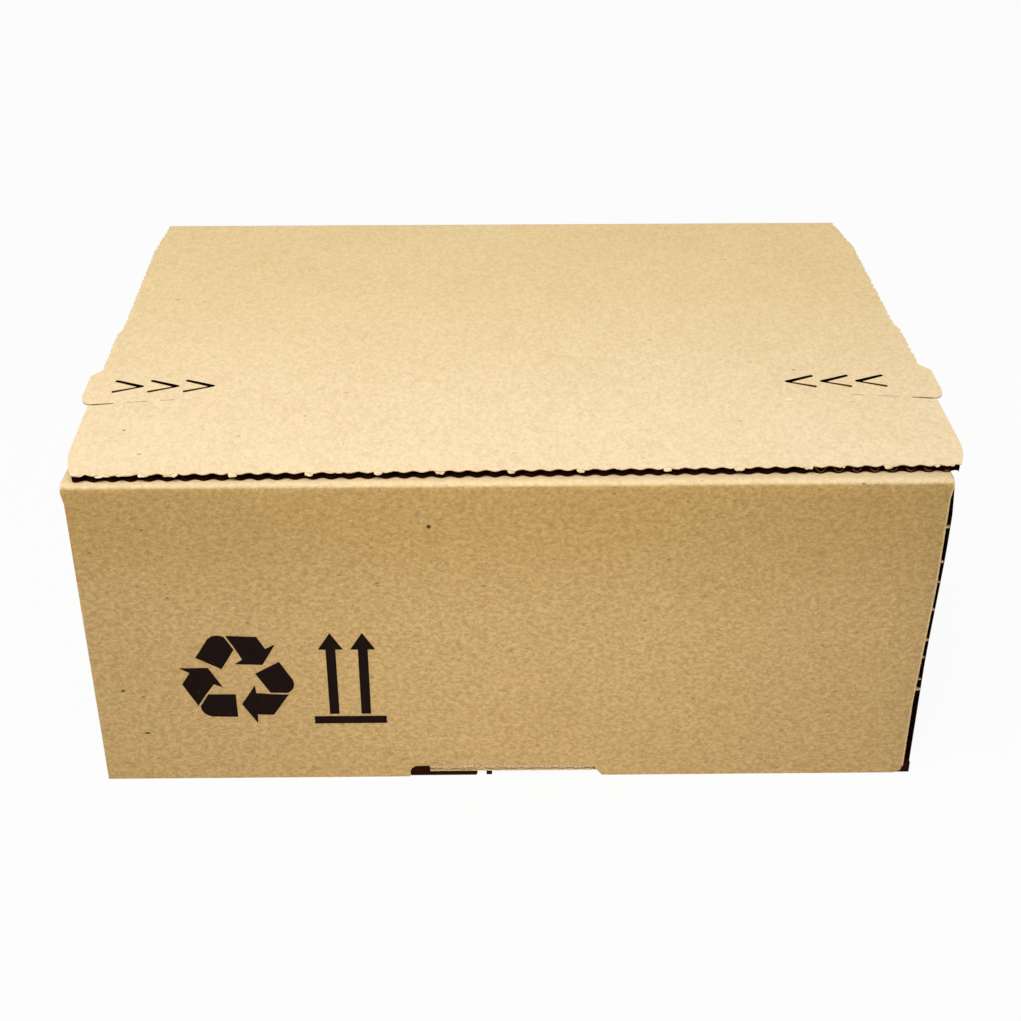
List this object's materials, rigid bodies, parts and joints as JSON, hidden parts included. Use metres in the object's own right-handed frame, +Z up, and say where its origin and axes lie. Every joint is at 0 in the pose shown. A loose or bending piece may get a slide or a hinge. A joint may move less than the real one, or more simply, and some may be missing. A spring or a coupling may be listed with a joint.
{
  "type": "closed cardboard box",
  "caption": "Closed corrugated cardboard mailing box, folded from one blank, with a tear-strip lid glued down over an inner flap and a lock slot in the front's bottom fold.",
  "frame": {"origin": "middle of the underside of the box body", "axes": "+Z up, the printed front wall faces -Y, +X to the right of someone who looks at the front"},
  "size_m": [0.3305, 0.2391, 0.1368],
  "materials": {
    "board": "matte brown kraft paper over corrugated board",
    "glue": "dull translucent glue",
    "tape": "thin buff film",
    "ink": "flat near-black print"
  },
  "bodies": {
    "root": {"folded_board": "board", "tear_tape": "tape", "closing_adhesive_strip": "glue", "front_left_ear_glue": "glue", "front_right_ear_glue": "glue", "back_left_ear_glue": "glue", "back_right_ear_glue": "glue", "printed_recycling_mark": "ink", "printed_upright_mark": "ink"}
  },
  "joints": []
}
